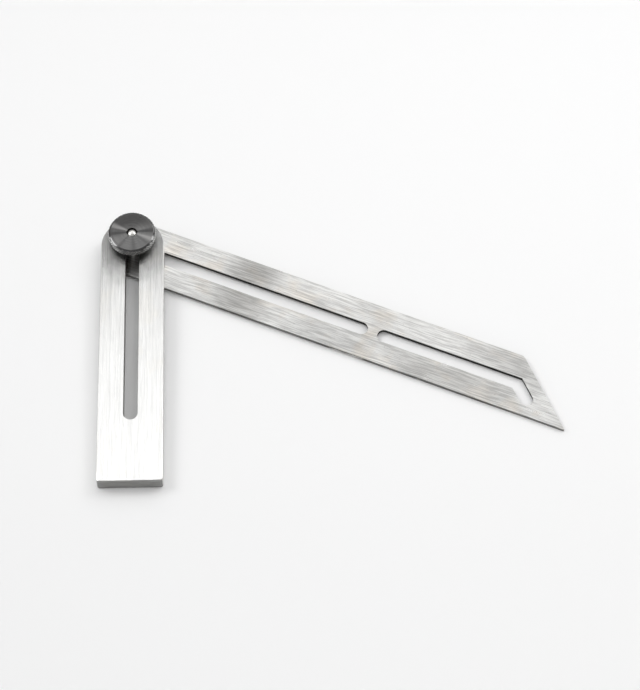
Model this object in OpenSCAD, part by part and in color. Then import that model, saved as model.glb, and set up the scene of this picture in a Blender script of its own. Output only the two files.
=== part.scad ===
// Sliding bevel for setting and copying angles: a slotted stock and a slotted blade, held
// face to face by one clamp bolt, a washer and a knurled nut.
// Origin: on the clamp bolt's axis, at the underside of its head. +Z is up through the nut.
// The stock lies along -Y. The blade lies along its own line U, turned below +X, with W across it.

/* [Stock] */
// Width of the stock
stock_w = 25.4; // [20:0.1:32]
// Thickness of the stock
stock_t = 6.35; // [5:0.05:9]
// Length of the stock from its round end to its square end
stock_len = 119.2; // [90:0.1:160]
// Wall between the stock's slot and its round end
stock_end_wall = 7.3; // [5:0.05:10]
// Solid length between the stock's slot and its square end
stock_tail = 26.4; // [15:0.1:40]
// Radius on the two upright corners of the square end
stock_corner_r = 1; // [0.5:0.1:3]
// Small bevel along the stock's top and bottom edges
stock_bevel = 0.3; // [0.1:0.05:0.6]

/* [Blade] */
// Width of the blade
blade_w = 25.4; // [20:0.1:32]
// Thickness of the blade
blade_t = 1.5; // [1:0.05:3]
// Length of the blade from its round end to its pointed tip
blade_len = 199.35; // [180:0.05:240]
// Angle of the pointed end, and of the short leg of the second slot, to the long edges
blade_end_angle = 45; // [40:1:60]
// Width of the flat on the sharp tip
tip_flat = 0.4; // [0.2:0.1:2]
// Radius of the blunt corner of the pointed end
blunt_corner_r = 3; // [1:0.1:5]
// Wall between the first slot and the blade's round end
blade_end_wall = 5; // [4:0.1:8]
// Length of the first slot, end to end
slot1_len = 107.2; // [60:0.1:110]
// Solid web between the two slots
slot_web = 4.35; // [3:0.05:10]
// Wall between the second slot's short leg and the pointed end
leg_wall = 5.15; // [3:0.05:8]
// Length of the short leg, from the turn to the centre of its round end
leg_len = 7.8; // [4:0.1:10]
// Distance the blade has slid back along its first slot
blade_slide = 0; // [0:0.5:50]
// Angle of the blade below the +X axis
blade_set_angle = 23.75; // [0:0.05:60]

/* [Slots] */
// Width of the slots in the stock and in the blade
slot_w = 5.5; // [5.1:0.05:7]

/* [Clamp bolt] */
// Diameter of the bolt's head
head_d = 13; // [11:0.1:20]
// Thickness of the bolt's head
head_t = 1.2; // [1:0.1:3]
// Bevel around the underside of the bolt's head
head_bevel = 0.4; // [0.1:0.1:0.8]
// Length of the keyed collar beyond its width across flats
collar_extra = 1.6; // [1:0.1:3]
// Diameter of the threaded end
thread_d = 4.1; // [3.5:0.05:4.5]
// Height of the domed tip of the threaded end
dome_h = 0.9; // [0.5:0.1:1.5]
// Distance of the bolt's tip below the nut's top
tip_below_nut = 0.3; // [0:0.05:1]

/* [Washer] */
// Outer diameter of the washer
washer_d = 12.7; // [11:0.1:16]
// Thickness of the washer
washer_t = 1.1; // [0.8:0.05:2]

/* [Knurled nut] */
// Diameter over the nut's knurl
nut_d = 19.1; // [16:0.1:26]
// Height of the nut's knurled disc
disc_h = 3.15; // [2.5:0.05:6]
// Height of the bevel at the top and the bottom of the knurled disc
nut_bevel_h = 0.25; // [0.15:0.05:0.6]
// Width of the bevel at the top and the bottom of the knurled disc
nut_bevel_w = 0.6; // [0.3:0.05:1]
// Diameter of the nut's plain foot
foot_d = 11.4; // [8:0.1:14]
// Height of the nut's plain foot
foot_h = 1.35; // [0.8:0.05:3]
// Number of ridges around the knurl
knurl_count = 56; // [36:1:80]
// Depth of the grooves between the ridges
knurl_depth = 0.25; // [0.1:0.05:0.4]
// Bevel at the mouth of the nut's threaded hole
mouth_bevel = 0.2; // [0.1:0.05:0.5]

/* [Fits] */
// Clearance on each side of the bolt's shank in the slots
shank_gap = 0.07; // [0.05:0.01:0.1]
// Clearance on each side of the collar's flats in the blade's slot
flat_gap = 0.05; // [0.03:0.01:0.07]
// Room between the collar's corners and the round end of the blade's slot
end_gap = 0.12; // [0.1:0.01:0.5]
// Clearance all round the threaded end, in the washer and in the nut
thread_gap = 0.05; // [0.03:0.01:0.1]
// Distance of the collar below the blade's top, and of the shank below the stock's top
seat_gap = 0.1; // [0.05:0.05:0.3]

/* [Hidden] */
$fn = 96;

// Overrun that lets a cut run cleanly past a face
past = 0.5;

// Heights of the stack, from the underside of the bolt's head
blade_z = head_t;
stock_z = blade_z + blade_t;
washer_z = stock_z + stock_t;
nut_z = washer_z + washer_t;
disc_z = nut_z + foot_h;
nut_top = disc_z + disc_h;

// Slots, and the bolt sizes that follow from them
slot_r = slot_w / 2;
shank_d = slot_w - 2 * shank_gap;
flats_w = slot_w - 2 * flat_gap;
collar_d = flats_w + collar_extra;
bolt_tip_z = nut_top - tip_below_nut;
thread_hole_d = thread_d + 2 * thread_gap;

// Stock, measured along Y from the bolt's axis
stock_r = stock_w / 2;
stock_far = slot_r + stock_end_wall;
stock_near = stock_far - stock_len;
stock_slot_near = stock_near + stock_tail + slot_r;

// Blade, measured along U from the bolt's axis. The collar's corners stop short of the
// round end of the first slot
blade_r = blade_w / 2;
corner_reach = sqrt(pow(collar_d / 2, 2) - pow(flats_w / 2, 2));
corner_room = sqrt(pow(slot_r, 2) - pow(flats_w / 2, 2));
slot1_start = corner_room - corner_reach - end_gap - blade_slide;
slot1_end = slot1_start + slot1_len - slot_w;
slot2_start = slot1_end + slot_w + slot_web;
blade_back = slot1_start - slot_r - blade_end_wall;
tip_u = blade_back + blade_len;
blunt_u = tip_u - blade_w / tan(blade_end_angle);
turn_u = tip_u - (blade_r * cos(blade_end_angle) + leg_wall + slot_r) / sin(blade_end_angle);
turn_mitre = slot_r * tan(blade_end_angle / 2);
leg_end = [turn_u + leg_len * cos(blade_end_angle), -leg_len * sin(blade_end_angle)];
leg_side = [slot_r * sin(blade_end_angle), slot_r * cos(blade_end_angle)];

// Cutter for a slot through a plate: its straight-sided outline and its two round ends
module slot_cut(outline, ends, base_z, depth) {
    cut_h = depth + 2 * past;
    translate([0, 0, base_z - past]) {
        linear_extrude(cut_h)
            polygon(outline);
        for (end = ends)
            translate(end)
                cylinder(r = slot_r, h = cut_h);
    }
}

// Flat outline of a long bar's section, with its four corners bevelled
module bevelled_section(low, high, height, bevel) {
    polygon([
        [low + bevel, 0],
        [high - bevel, 0],
        [high, bevel],
        [high, height - bevel],
        [high - bevel, height],
        [low + bevel, height],
        [low, height - bevel],
        [low, bevel]
    ]);
}

// Slotted bar that is held against the work
module stock() {
    color([0.80, 0.80, 0.79])
        difference() {
            translate([0, 0, stock_z]) {
                stock_round_end();
                stock_bar();
            }
            slot_cut(
                [
                    [-slot_r, stock_slot_near],
                    [slot_r, stock_slot_near],
                    [slot_r, 0],
                    [-slot_r, 0]
                ],
                [[0, 0], [0, stock_slot_near]],
                stock_z,
                stock_t
            );
        }
}

// Far end of the stock, a bevelled disc on the stock's centre line
module stock_round_end() {
    translate([0, stock_far - stock_r, 0])
        rotate_extrude()
            polygon([
                [0, 0],
                [stock_r - stock_bevel, 0],
                [stock_r, stock_bevel],
                [stock_r, stock_t - stock_bevel],
                [stock_r - stock_bevel, stock_t],
                [0, stock_t]
            ]);
}

// Straight length of the stock, with bevelled long edges and a bevelled square end
module stock_bar() {
    bar_far = stock_far - stock_r;
    corner_x = stock_r - stock_corner_r;
    corner_y = stock_near + stock_corner_r;
    intersection() {
        translate([0, bar_far, 0])
            rotate([90, 0, 0])
                linear_extrude(bar_far - stock_near)
                    bevelled_section(-stock_r, stock_r, stock_t, stock_bevel);
        translate([-stock_r, 0, 0])
            rotate([90, 0, 90])
                linear_extrude(stock_w)
                    bevelled_section(stock_near, stock_far, stock_t, stock_bevel);
        union() {
            translate([-stock_r, corner_y, 0])
                cube([stock_w, bar_far - corner_y, stock_t]);
            translate([-corner_x, stock_near, 0])
                cube([2 * corner_x, stock_corner_r, stock_t]);
            for (side = [-1, 1])
                translate([side * corner_x, corner_y, 0])
                    cylinder(r = stock_corner_r, h = stock_t);
        }
    }
}

// Thin blade with a round end, a pointed end, a straight slot and a slot with a short leg
module blade() {
    color([0.74, 0.73, 0.71])
        rotate(-blade_set_angle)
            difference() {
                blade_plate();
                slot_cut(
                    [
                        [slot1_start, -slot_r],
                        [slot1_end, -slot_r],
                        [slot1_end, slot_r],
                        [slot1_start, slot_r]
                    ],
                    [[slot1_start, 0], [slot1_end, 0]],
                    blade_z,
                    blade_t
                );
                slot_cut(
                    [
                        [slot2_start, -slot_r],
                        [turn_u - turn_mitre, -slot_r],
                        leg_end - leg_side,
                        leg_end + leg_side,
                        [turn_u + turn_mitre, slot_r],
                        [slot2_start, slot_r]
                    ],
                    [[slot2_start, 0], leg_end],
                    blade_z,
                    blade_t
                );
            }
}

// The blade without its slots
module blade_plate() {
    corner_run = blunt_corner_r * tan(blade_end_angle / 2);
    round_u = blade_back + blade_r;
    translate([0, 0, blade_z]) {
        translate([round_u, 0, 0])
            cylinder(r = blade_r, h = blade_t);
        translate([blunt_u - corner_run, blade_r - blunt_corner_r, 0])
            cylinder(r = blunt_corner_r, h = blade_t);
        linear_extrude(blade_t)
            polygon([
                [round_u, -blade_r],
                [tip_u - tip_flat, -blade_r],
                [tip_u - tip_flat, -blade_r + tip_flat * tan(blade_end_angle)],
                [
                    blunt_u + corner_run * cos(blade_end_angle),
                    blade_r - corner_run * sin(blade_end_angle)
                ],
                [blunt_u - corner_run, blade_r],
                [round_u, blade_r]
            ]);
    }
}

// Thin-headed bolt, keyed in the blade by two flats and domed at its tip
module clamp_bolt() {
    collar_top = stock_z - seat_gap;
    shank_top = washer_z - seat_gap;
    color([0.78, 0.78, 0.77]) {
        rotate_extrude()
            polygon([
                [0, 0],
                [head_d / 2 - head_bevel, 0],
                [head_d / 2, head_bevel],
                [head_d / 2, head_t],
                [shank_d / 2, head_t],
                [shank_d / 2, shank_top],
                [thread_d / 2, shank_top],
                [thread_d / 2, bolt_tip_z - dome_h],
                [0, bolt_tip_z - dome_h]
            ]);
        rotate(-blade_set_angle)
            intersection() {
                translate([0, 0, head_bevel])
                    cylinder(d = collar_d, h = collar_top - head_bevel);
                translate([-collar_d, -flats_w / 2, head_bevel])
                    cube([2 * collar_d, flats_w, collar_top - head_bevel]);
            }
        bolt_dome();
    }
}

// Domed tip of the bolt, a cap of one sphere
module bolt_dome() {
    dome_r = (pow(thread_d / 2, 2) + pow(dome_h, 2)) / (2 * dome_h);
    intersection() {
        translate([0, 0, bolt_tip_z - dome_r])
            sphere(r = dome_r);
        translate([0, 0, bolt_tip_z - dome_h - past])
            cylinder(d = thread_d, h = dome_h + past);
    }
}

// Plain washer that slides on the stock's top with the bolt
module washer() {
    color([0.70, 0.70, 0.69])
        translate([0, 0, washer_z])
            difference() {
                cylinder(d = washer_d, h = washer_t);
                translate([0, 0, -past])
                    cylinder(d = thread_hole_d, h = washer_t + 2 * past);
            }
}

// Flat outline of the ridged rim
module knurl_outline() {
    step = 360 / knurl_count;
    polygon([
        for (i = [0 : 2 * knurl_count - 1])
            let (r = nut_d / 2 - (i % 2) * knurl_depth, a = i * step / 2)
                [r * cos(a), r * sin(a)]
    ]);
}

// Ridged disc of the nut. The bevels run on past the ridges, so that they cut every ridge
module knurled_disc() {
    face_r = nut_d / 2 - nut_bevel_w;
    outer_r = nut_d / 2 + nut_bevel_w;
    intersection() {
        rotate_extrude()
            polygon([
                [0, 0],
                [face_r, 0],
                [outer_r, 2 * nut_bevel_h],
                [outer_r, disc_h - 2 * nut_bevel_h],
                [face_r, disc_h],
                [0, disc_h]
            ]);
        linear_extrude(disc_h)
            knurl_outline();
    }
}

// Thumb nut: a ridged disc on a plain foot, with a threaded hole right through
module knurled_nut() {
    color([0.20, 0.20, 0.20])
        difference() {
            union() {
                translate([0, 0, nut_z])
                    cylinder(d = foot_d, h = foot_h + nut_bevel_h);
                translate([0, 0, disc_z])
                    knurled_disc();
            }
            translate([0, 0, nut_z - past])
                cylinder(d = thread_hole_d, h = nut_top - nut_z + 2 * past);
            translate([0, 0, nut_top - mouth_bevel])
                cylinder(d1 = thread_hole_d, d2 = thread_hole_d + 2 * mouth_bevel, h = mouth_bevel);
        }
}

stock();
blade();
clamp_bolt();
washer();
knurled_nut();
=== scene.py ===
import math
import bmesh
import bpy
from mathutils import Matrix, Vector, noise
from mathutils.geometry import tessellate_polygon


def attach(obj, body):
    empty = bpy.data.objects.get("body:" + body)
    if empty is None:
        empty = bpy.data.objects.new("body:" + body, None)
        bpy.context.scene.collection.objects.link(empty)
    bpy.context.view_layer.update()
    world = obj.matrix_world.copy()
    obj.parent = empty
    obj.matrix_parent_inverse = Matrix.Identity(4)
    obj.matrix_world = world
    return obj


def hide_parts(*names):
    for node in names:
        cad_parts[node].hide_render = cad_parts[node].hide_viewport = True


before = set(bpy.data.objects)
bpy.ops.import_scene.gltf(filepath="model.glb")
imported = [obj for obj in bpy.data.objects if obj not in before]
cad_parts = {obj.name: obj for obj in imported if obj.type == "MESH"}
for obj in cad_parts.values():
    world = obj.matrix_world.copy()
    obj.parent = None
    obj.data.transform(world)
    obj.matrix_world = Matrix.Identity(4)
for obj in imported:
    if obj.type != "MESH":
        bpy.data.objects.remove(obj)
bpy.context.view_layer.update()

mm = 0.001
plateUv, latheUv = 0.01, 0.02  # UV units for each mm
sliver = 0.02  # mm, for steps too small to see
print("frame loaded:", ", ".join(sorted(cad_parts)))


def arcPoints(cx, cy, radius, start, end, step=5):
    count = max(2, int(math.ceil(abs(end - start) / step)))
    angles = [math.radians(start + (end - start) * i / count) for i in range(count + 1)]
    return [(cx + radius * math.cos(a), cy + radius * math.sin(a)) for a in angles]


def roundedCorner(before, corner, after, radius):
    # a small fillet, so no corner is knife sharp
    count = 5
    p, a, b = Vector(corner), Vector(before), Vector(after)
    toA, toB = (a - p).normalized(), (b - p).normalized()
    half = toA.angle(toB) / 2
    reach = radius / math.tan(half)
    centre = p + (toA + toB).normalized() * radius / math.sin(half)
    first, last = p + toA * reach - centre, p + toB * reach - centre
    turn = first.angle_signed(last)
    out = []
    for i in range(count + 1):
        a = -turn * i / count
        out.append(tuple(centre + Vector((
            first.x * math.cos(a) - first.y * math.sin(a),
            first.x * math.sin(a) + first.y * math.cos(a)))))
    return out


def closedPath(points, longest=2.0):
    # drops repeated points and splits the long straights, so edges can vary along them
    same = 1e-4
    clean = []
    for p in points:
        if not clean or math.dist(p, clean[-1]) > same:
            clean.append(p)
    if math.dist(clean[0], clean[-1]) < same:
        clean.pop()
    out = []
    for i, p in enumerate(clean):
        q = clean[(i + 1) % len(clean)]
        pieces = max(1, int(math.ceil(math.dist(p, q) / longest)))
        for k in range(pieces):
            t = k / pieces
            out.append((p[0] + (q[0] - p[0]) * t, p[1] + (q[1] - p[1]) * t))
    return out


def smoothNormals(points, closed=True, sharpAngle=24.0):
    # for each point: (normal on the side it arrives by, normal on the side it leaves by, mitre)
    count = len(points)
    spans = []
    for i in range(count if closed else count - 1):
        p, q = points[i], points[(i + 1) % count]
        length = math.dist(p, q)
        spans.append((Vector(((q[1] - p[1]) / length, -(q[0] - p[0]) / length)), length))
    out = []
    for i in range(count):
        if not closed and i in (0, count - 1):
            only = spans[0 if i == 0 else -1][0]
            out.append((only, only, only))
            continue
        (n1, l1), (n2, l2) = spans[i - 1], spans[i]
        mitre = (n1 + n2) / (1 + n1.dot(n2))
        if n1.angle(n2) < math.radians(sharpAngle):
            both = (n1 * l1 + n2 * l2).normalized()
            out.append((both, both, mitre))
        else:
            out.append((n1, n2, mitre))
    return out


def addObject(name, data):
    thing = bpy.data.objects.new(name, data)
    bpy.context.scene.collection.objects.link(thing)
    return thing


class Shell:
    # vertices, faces, and what each face corner carries
    def __init__(self):
        self.verts, self.edge = [], []
        self.faces, self.normals, self.uvs, self.mats = [], [], [], []

    def vert(self, x, y, z, edge=0.0):
        self.verts.append((x * mm, y * mm, z * mm))
        self.edge.append(edge)
        return len(self.verts) - 1

    def face(self, ids, normals, uvs, mat):
        self.faces.append(ids)
        self.normals.append(normals)
        self.uvs.append(uvs)
        self.mats.append(mat)


def edgeWander(x, y, base, index):
    # how the width of an edge break wanders along the edge
    slow = noise.noise(Vector((x * 0.31, y * 0.31, base * 3.7 + index)))
    quick = noise.noise(Vector((x * 1.3, y * 1.3, base * 5.1 + index)))
    return slow + 0.6 * quick


def plate(shell, outline, holes, low, high, breaks, turn, mats, ragged=0.0, steps=4):
    # a flat bar with a rounded break on every edge. breaks: outer edge, hole edges
    # mats: faces, outer wall, hole walls. turn: angle of the bar's length, for grain and UVs
    cosT, sinT = math.cos(turn), math.sin(turn)
    faceLean = 0.75  # radians. What leans more than this takes the face's material

    def place(x, y):
        return x * cosT - y * sinT, x * sinT + y * cosT

    capLow, capHigh = [], []
    for index, path in enumerate([outline] + list(holes)):
        size, wall = (breaks[0], mats[1]) if index == 0 else (breaks[1], mats[2])
        corners = smoothNormals(path)
        profile = []
        for base, start, lift in ((low, -math.pi / 2, 1), (high, 0.0, -1)):
            for k in range(steps + 1):
                phi = start + math.pi / 2 * k / steps
                profile.append((1 - math.cos(phi), base, lift + math.sin(phi), phi))
        rings = []
        for inset, base, lift, phi in profile:
            ring = []
            for p, corner in zip(path, corners):
                local = size * (1 + ragged * edgeWander(p[0], p[1], base, index))
                x = p[0] - corner[2].x * inset * local
                y = p[1] - corner[2].y * inset * local
                ring.append(shell.vert(*place(x, y), base + lift * local, abs(math.sin(2 * phi))))
            rings.append(ring)
        lengths = [0.0]
        for i in range(len(path)):
            lengths.append(lengths[-1] + math.dist(path[i], path[(i + 1) % len(path)]))
        levels = [base + lift * size for inset, base, lift, phi in profile]
        down = 0.0
        for k in range(len(profile) - 1):
            phis = (0.0, 0.0) if k == steps else (profile[k][3], profile[k + 1][3])
            mat = mats[0] if abs(sum(phis)) / 2 > faceLean else wall
            rise = abs(levels[k + 1] - levels[k])
            for i in range(len(path)):
                j = (i + 1) % len(path)
                ids = (rings[k][i], rings[k][j], rings[k + 1][j], rings[k + 1][i])
                flat = (corners[i][1], corners[j][0], corners[j][0], corners[i][1])
                tilt = (phis[0], phis[0], phis[1], phis[1])
                normals = []
                for n, phi in zip(flat, tilt):
                    nx, ny = place(n.x, n.y)
                    normals.append((nx * math.cos(phi), ny * math.cos(phi), math.sin(phi)))
                us = (lengths[i], lengths[i + 1], lengths[i + 1], lengths[i])
                vs = (down, down, down + rise, down + rise)
                shell.face(ids, normals, [(u * plateUv, v * plateUv) for u, v in zip(us, vs)], mat)
            down += rise
        capLow.append(rings[0])
        capHigh.append(rings[-1])
    for rings, up in ((capHigh, 1), (capLow, -1)):
        ids = [i for ring in rings for i in ring]
        loops = [[Vector((shell.verts[i][0], shell.verts[i][1], 0)) for i in ring] for ring in rings]
        for tri in tessellate_polygon(loops):
            a, b, c = (ids[t] for t in tri)
            pa, pb, pc = (Vector(shell.verts[i]) for i in (a, b, c))
            area = (pb - pa).cross(pc - pa).z
            if abs(area) < 1e-15:
                continue
            if area * up < 0:
                b, c = c, b
            uvs = []
            for i in (a, b, c):
                x, y = shell.verts[i][0] / mm * plateUv, shell.verts[i][1] / mm * plateUv
                uvs.append((x * cosT + y * sinT, -x * sinT + y * cosT))
            shell.face((a, b, c), [(0, 0, up)] * 3, uvs, mats[0])


def lathe(shell, profile, segments, mats, closed=False, edges=None, bend=None, sharpAngle=24.0):
    # a turned shape. profile: (r, z) points, outside on the right hand. mats, edges: one value for
    # each point, for the span after it and the wear at it. bend(r, z, angle) moves a point
    corners = smoothNormals(profile, closed, sharpAngle)
    rings = []
    for j, (r, z) in enumerate(profile):
        worn = edges[j] if edges else 0.0
        if r == 0:
            rings.append([shell.vert(0, 0, z, worn)] * segments)
            continue
        ring = []
        for i in range(segments):
            a = math.tau * i / segments
            bentR, bentZ = bend(r, z, a) if bend else (r, z)
            ring.append(shell.vert(bentR * math.cos(a), bentR * math.sin(a), bentZ, worn))
        rings.append(ring)
    run = 0.0
    for j in range(len(profile) if closed else len(profile) - 1):
        k = (j + 1) % len(profile)
        length = math.dist(profile[j], profile[k])
        for i in range(segments):
            n = (i + 1) % segments
            ids, normals, uvs = [], [], []
            for row, column, step in ((j, i, i), (j, n, i + 1), (k, n, i + 1), (k, i, i)):
                vert = rings[row][column]
                if vert in ids:  # on the axis two corners fall together
                    continue
                side = corners[j][1] if row == j else corners[k][0]
                a = math.tau * step / segments
                ids.append(vert)
                normals.append((side.x * math.cos(a), side.x * math.sin(a), side.y))
                uvs.append((step / segments, (run + (length if row == k else 0)) * latheUv))
            if len(ids) > 2:
                shell.face(tuple(ids), normals, uvs, mats[j])
        run += length


def roundProfile(points, radius):
    # rounds an (r, z) profile at all but its two end points
    count, share = 3, 0.45  # share: how much of a short side a corner may take
    out = [points[0]]
    for before, corner, after in zip(points, points[1:], points[2:]):
        reach = min(radius, min(math.dist(before, corner), math.dist(corner, after)) * share)
        middle = Vector(corner)
        p = middle + (Vector(before) - middle).normalized() * reach
        q = middle + (Vector(after) - middle).normalized() * reach
        for k in range(count + 1):
            t = k / count
            out.append(tuple(p * (1 - t) ** 2 + middle * 2 * t * (1 - t) + q * t ** 2))
    out.append(points[-1])
    return out


def addPiece(name, mesh, node):
    # each body holds one node, and both have one name
    piece = addObject(name, mesh)
    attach(piece, node)
    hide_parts(node)
    print("made", name, len(mesh.polygons), "faces")


def makePiece(name, shell, materials, node):
    mesh = bpy.data.meshes.new(name)
    mesh.from_pydata(shell.verts, [], shell.faces)
    for material in materials:
        mesh.materials.append(material)
    mesh.polygons.foreach_set("material_index", shell.mats)
    mesh.polygons.foreach_set("use_smooth", [True] * len(shell.faces))
    flat = [value for face in shell.uvs for uv in face for value in uv]
    mesh.uv_layers.new(name="grainUV").data.foreach_set("uv", flat)
    mesh.attributes.new("edge", "FLOAT", "POINT").data.foreach_set("value", shell.edge)
    mesh.validate(clean_customdata=False)
    mesh.update()
    if len(mesh.loops) == len(flat) // 2:  # no bad face was dropped, so the normals still match
        mesh.normals_split_custom_set([n for face in shell.normals for n in face])
    addPiece(name, mesh, node)


class Field:
    # a value, vector or colour in a node tree. Signs between fields make maths nodes
    def __init__(self, tree, socket):
        self.tree, self.socket = tree, socket

    def __add__(self, other):
        return maths(self.tree, "ADD", self, other)

    def __sub__(self, other):
        return maths(self.tree, "SUBTRACT", self, other)

    def __mul__(self, other):
        return maths(self.tree, "MULTIPLY", self, other)


def feed(tree, node, key, value):
    # a field or a socket is linked, anything else is a plain value
    socket = node.inputs[key]
    if isinstance(value, Field):
        value = value.socket
    if isinstance(value, bpy.types.NodeSocket):
        tree.links.new(value, socket)
    else:
        socket.default_value = (*value, 1) if socket.type == "RGBA" else value


def addNode(tree, kind, inputs, **values):
    node = tree.nodes.new(kind)
    for key, value in values.items():
        setattr(node, key, value)
    for key, value in inputs.items():
        feed(tree, node, key, value)
    return node


def newField(tree, kind, inputs=(), output=0, **values):
    return Field(tree, addNode(tree, kind, dict(inputs), **values).outputs[output])


def maths(tree, operation, a, b=0.0):
    return newField(tree, "ShaderNodeMath", {0: a, 1: b}, operation=operation)


def vectorMaths(operation, a, b=(0, 0, 0), output=0):
    return newField(a.tree, "ShaderNodeVectorMath", {0: a, 1: b}, output, operation=operation)


def lengthOf(vector):
    return vectorMaths("LENGTH", vector, output="Value")


def splitVector(vector):
    node = addNode(vector.tree, "ShaderNodeSeparateXYZ", {0: vector})
    return [Field(vector.tree, socket) for socket in node.outputs]


def joinVector(tree, x=0.0, y=0.0, z=0.0):
    return newField(tree, "ShaderNodeCombineXYZ", {0: x, 1: y, 2: z})


def remap(value, fromLow, fromHigh, toLow=0.0, toHigh=1.0, smooth=False):
    return newField(value.tree, "ShaderNodeMapRange", {
        "Value": value, "From Min": fromLow, "From Max": fromHigh, "To Min": toLow, "To Max": toHigh},
        interpolation_type="SMOOTHSTEP" if smooth else "LINEAR")


def grey(value):
    return newField(value.tree, "ShaderNodeCombineColor", {0: value, 1: value, 2: value})


def mixColours(factor, a, b, blend="MIX"):
    tree = (factor if isinstance(factor, Field) else a).tree
    return newField(tree, "ShaderNodeMix", {0: factor, 6: a, 7: b}, 2, data_type="RGBA", blend_type=blend)


def noiseField(vector, scale, detail=2.0, rough=0.5, warp=0.0):
    return newField(vector.tree, "ShaderNodeTexNoise", {
        "Vector": vector, "Scale": scale, "Detail": detail, "Roughness": rough, "Distortion": warp})


def newGroup(name, floats, kind="ShaderNodeTree", **others):
    # others: the kinds of the inputs that aren't floats
    tree = bpy.data.node_groups.new(name, kind)
    for label, socketKind in (dict.fromkeys(floats, "Float") | others).items():
        tree.interface.new_socket(name=label, in_out="INPUT", socket_type="NodeSocket" + socketKind)
    given = tree.nodes.new("NodeGroupInput").outputs
    return tree, {socket.name: Field(tree, socket) for socket in given}


def closeGroup(tree, results, kind="Float"):
    for label in results:
        tree.interface.new_socket(name=label, in_out="OUTPUT", socket_type="NodeSocket" + kind)
    addNode(tree, "NodeGroupOutput", results)
    return tree


def groundLinesGroup():
    # long fine lines left by surface grinding. X runs along the grain
    tree, given = newGroup(
        "groundLines", ["acrossScale", "alongScale", "wander", "scratches", "micro"], where="Vector")
    along, across, deep = splitVector(given["where"])
    slow = joinVector(tree, along * 55.0, across * 90.0)
    across = (across + (noiseField(slow, 1.0, 1.0) - 0.5) * given["wander"]) * given["acrossScale"]
    along = along * given["alongScale"]
    deep = deep * given["acrossScale"]

    def lines(acrossBy, alongBy, shift, detail, rough):
        stretched = joinVector(tree, along * alongBy, across * acrossBy + shift, deep)
        return noiseField(stretched, 1.0, detail, rough)

    fine = lines(2.6, 1.0, 0.0, 5.0, 0.68)
    broad = lines(0.55, 0.5, 11.0, 3.0, 0.55)
    hair = lines(5.5, 0.35, 37.0, 2.0, 0.4)
    keep = lines(1.1, 1.2, 71.0, 2.0, 0.5)
    micro = lines(14.0, 0.25, 53.0, 1.0, 0.5)
    scratches = remap(hair, 0.60, 0.72) * remap(keep, 0.48, 0.62) * given["scratches"]
    height = fine * 0.5 + broad * 0.4 - scratches * 0.4 + micro * given["micro"]
    return closeGroup(tree, {"Fine": fine, "Broad": broad, "Scratches": scratches, "Height": height})


def turnedRingsGroup():
    # rings left by a lathe tool round Z
    tree, given = newGroup("turnedRings", ["ringScale", "wobble"], where="Vector")
    x, y, z = splitVector(given["where"])
    flat = joinVector(tree, x, y)
    radius = lengthOf(flat)
    around = vectorMaths("NORMALIZE", flat)
    drift = (noiseField(around, 2.2) - 0.5) * given["wobble"]
    line = (radius + drift + z) * given["ringScale"]
    slow = vectorMaths("MULTIPLY", around, (0.35, 0.35, 0.35))
    rings = noiseField(vectorMaths("ADD", joinVector(tree, z=line), slow), 1.0, 4.0, 0.62)
    sweep = noiseField(vectorMaths("MULTIPLY", around, (1.6, 1.6, 1.6)), 1.3)
    return closeGroup(tree, {
        "Rings": rings, "Sweep": sweep, "Radius": radius, "Height": rings * 0.8 + sweep * 0.15})


def paintedHighlightFansGroup():
    # painted highlight and shade: two opposed fans round the axis, each painted bright on one side and dull
    # on the other, standing for the rings' sheen
    tree, given = newGroup("paintedHighlightFans", ["angle"], where="Vector")
    turned = newField(tree, "ShaderNodeVectorRotate", {
        "Vector": given["where"], "Angle": given["angle"]}, rotation_type="Z_AXIS")
    around = vectorMaths("NORMALIZE", joinVector(tree, *splitVector(turned)[:2]))
    x, y = splitVector(around)[:2]
    side = x * y + (noiseField(around, 5.0, 3.0, 0.7) - 0.5) * 0.12
    near = remap(maths(tree, "ABSOLUTE", x), 0.70, 0.90, smooth=True)
    paintedFans = {}
    for label, low, high in (("Bright", -0.06, -0.22), ("paintedDull", 0.06, 0.20)):
        rise = remap(side, low, high, smooth=True)
        fall = remap(side, high * 2.1, high * 1.25, smooth=True)
        paintedFans[label] = rise * fall * near
    return closeGroup(tree, paintedFans)


def edgeWearGroup():
    # bare bright metal where edges rub, broken up by noise
    tree, given = newGroup("edgeWear", ["edge", "patchScale", "edgeWear"], where="Vector")
    patches = noiseField(given["where"], given["patchScale"], 3.0, 0.6)
    small = noiseField(given["where"], given["patchScale"] * 3.1)
    reach = given["edge"] + (patches - 0.5) * 0.9
    wear = remap(reach, 0.42, 0.85, smooth=True) * given["edgeWear"]
    return closeGroup(tree, {"Wear": wear, "Nicks": remap(small, 0.63, 0.70) * given["edge"]})


def handlingGroup():
    # faint smudges from hands, and a few small stains and specks
    tree, given = newGroup("handling", ["smudgeScale", "speckScale"], where="Vector")
    where = given["where"]
    smudge = remap(noiseField(where, given["smudgeScale"], 4.0, 0.6, 0.4), 0.35, 0.7, smooth=True)
    specks = remap(noiseField(where, given["speckScale"], 1.0), 0.70, 0.78)
    aside = vectorMaths("ADD", where, (0.37, 0.11, 0.05))
    warm = noiseField(aside, given["smudgeScale"] * 1.7, 3.0, 0.6)
    return closeGroup(tree, {"Smudge": smudge, "Specks": specks, "Warm": warm})


makers = (groundLinesGroup, turnedRingsGroup, paintedHighlightFansGroup, edgeWearGroup, handlingGroup)
groups = {tree.name: tree for tree in [make() for make in makers]}
print("shader groups built")


def useGroup(where, name, look, **more):
    # a group's inputs have the names that the settings have
    node = addNode(where.tree, "ShaderNodeGroup", {}, node_tree=groups[name])
    settings = {"where": where, **look, **more}
    for socket in node.inputs:
        feed(where.tree, node, socket.name, settings[socket.name])
    return {socket.name: Field(where.tree, socket) for socket in node.outputs}


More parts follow.
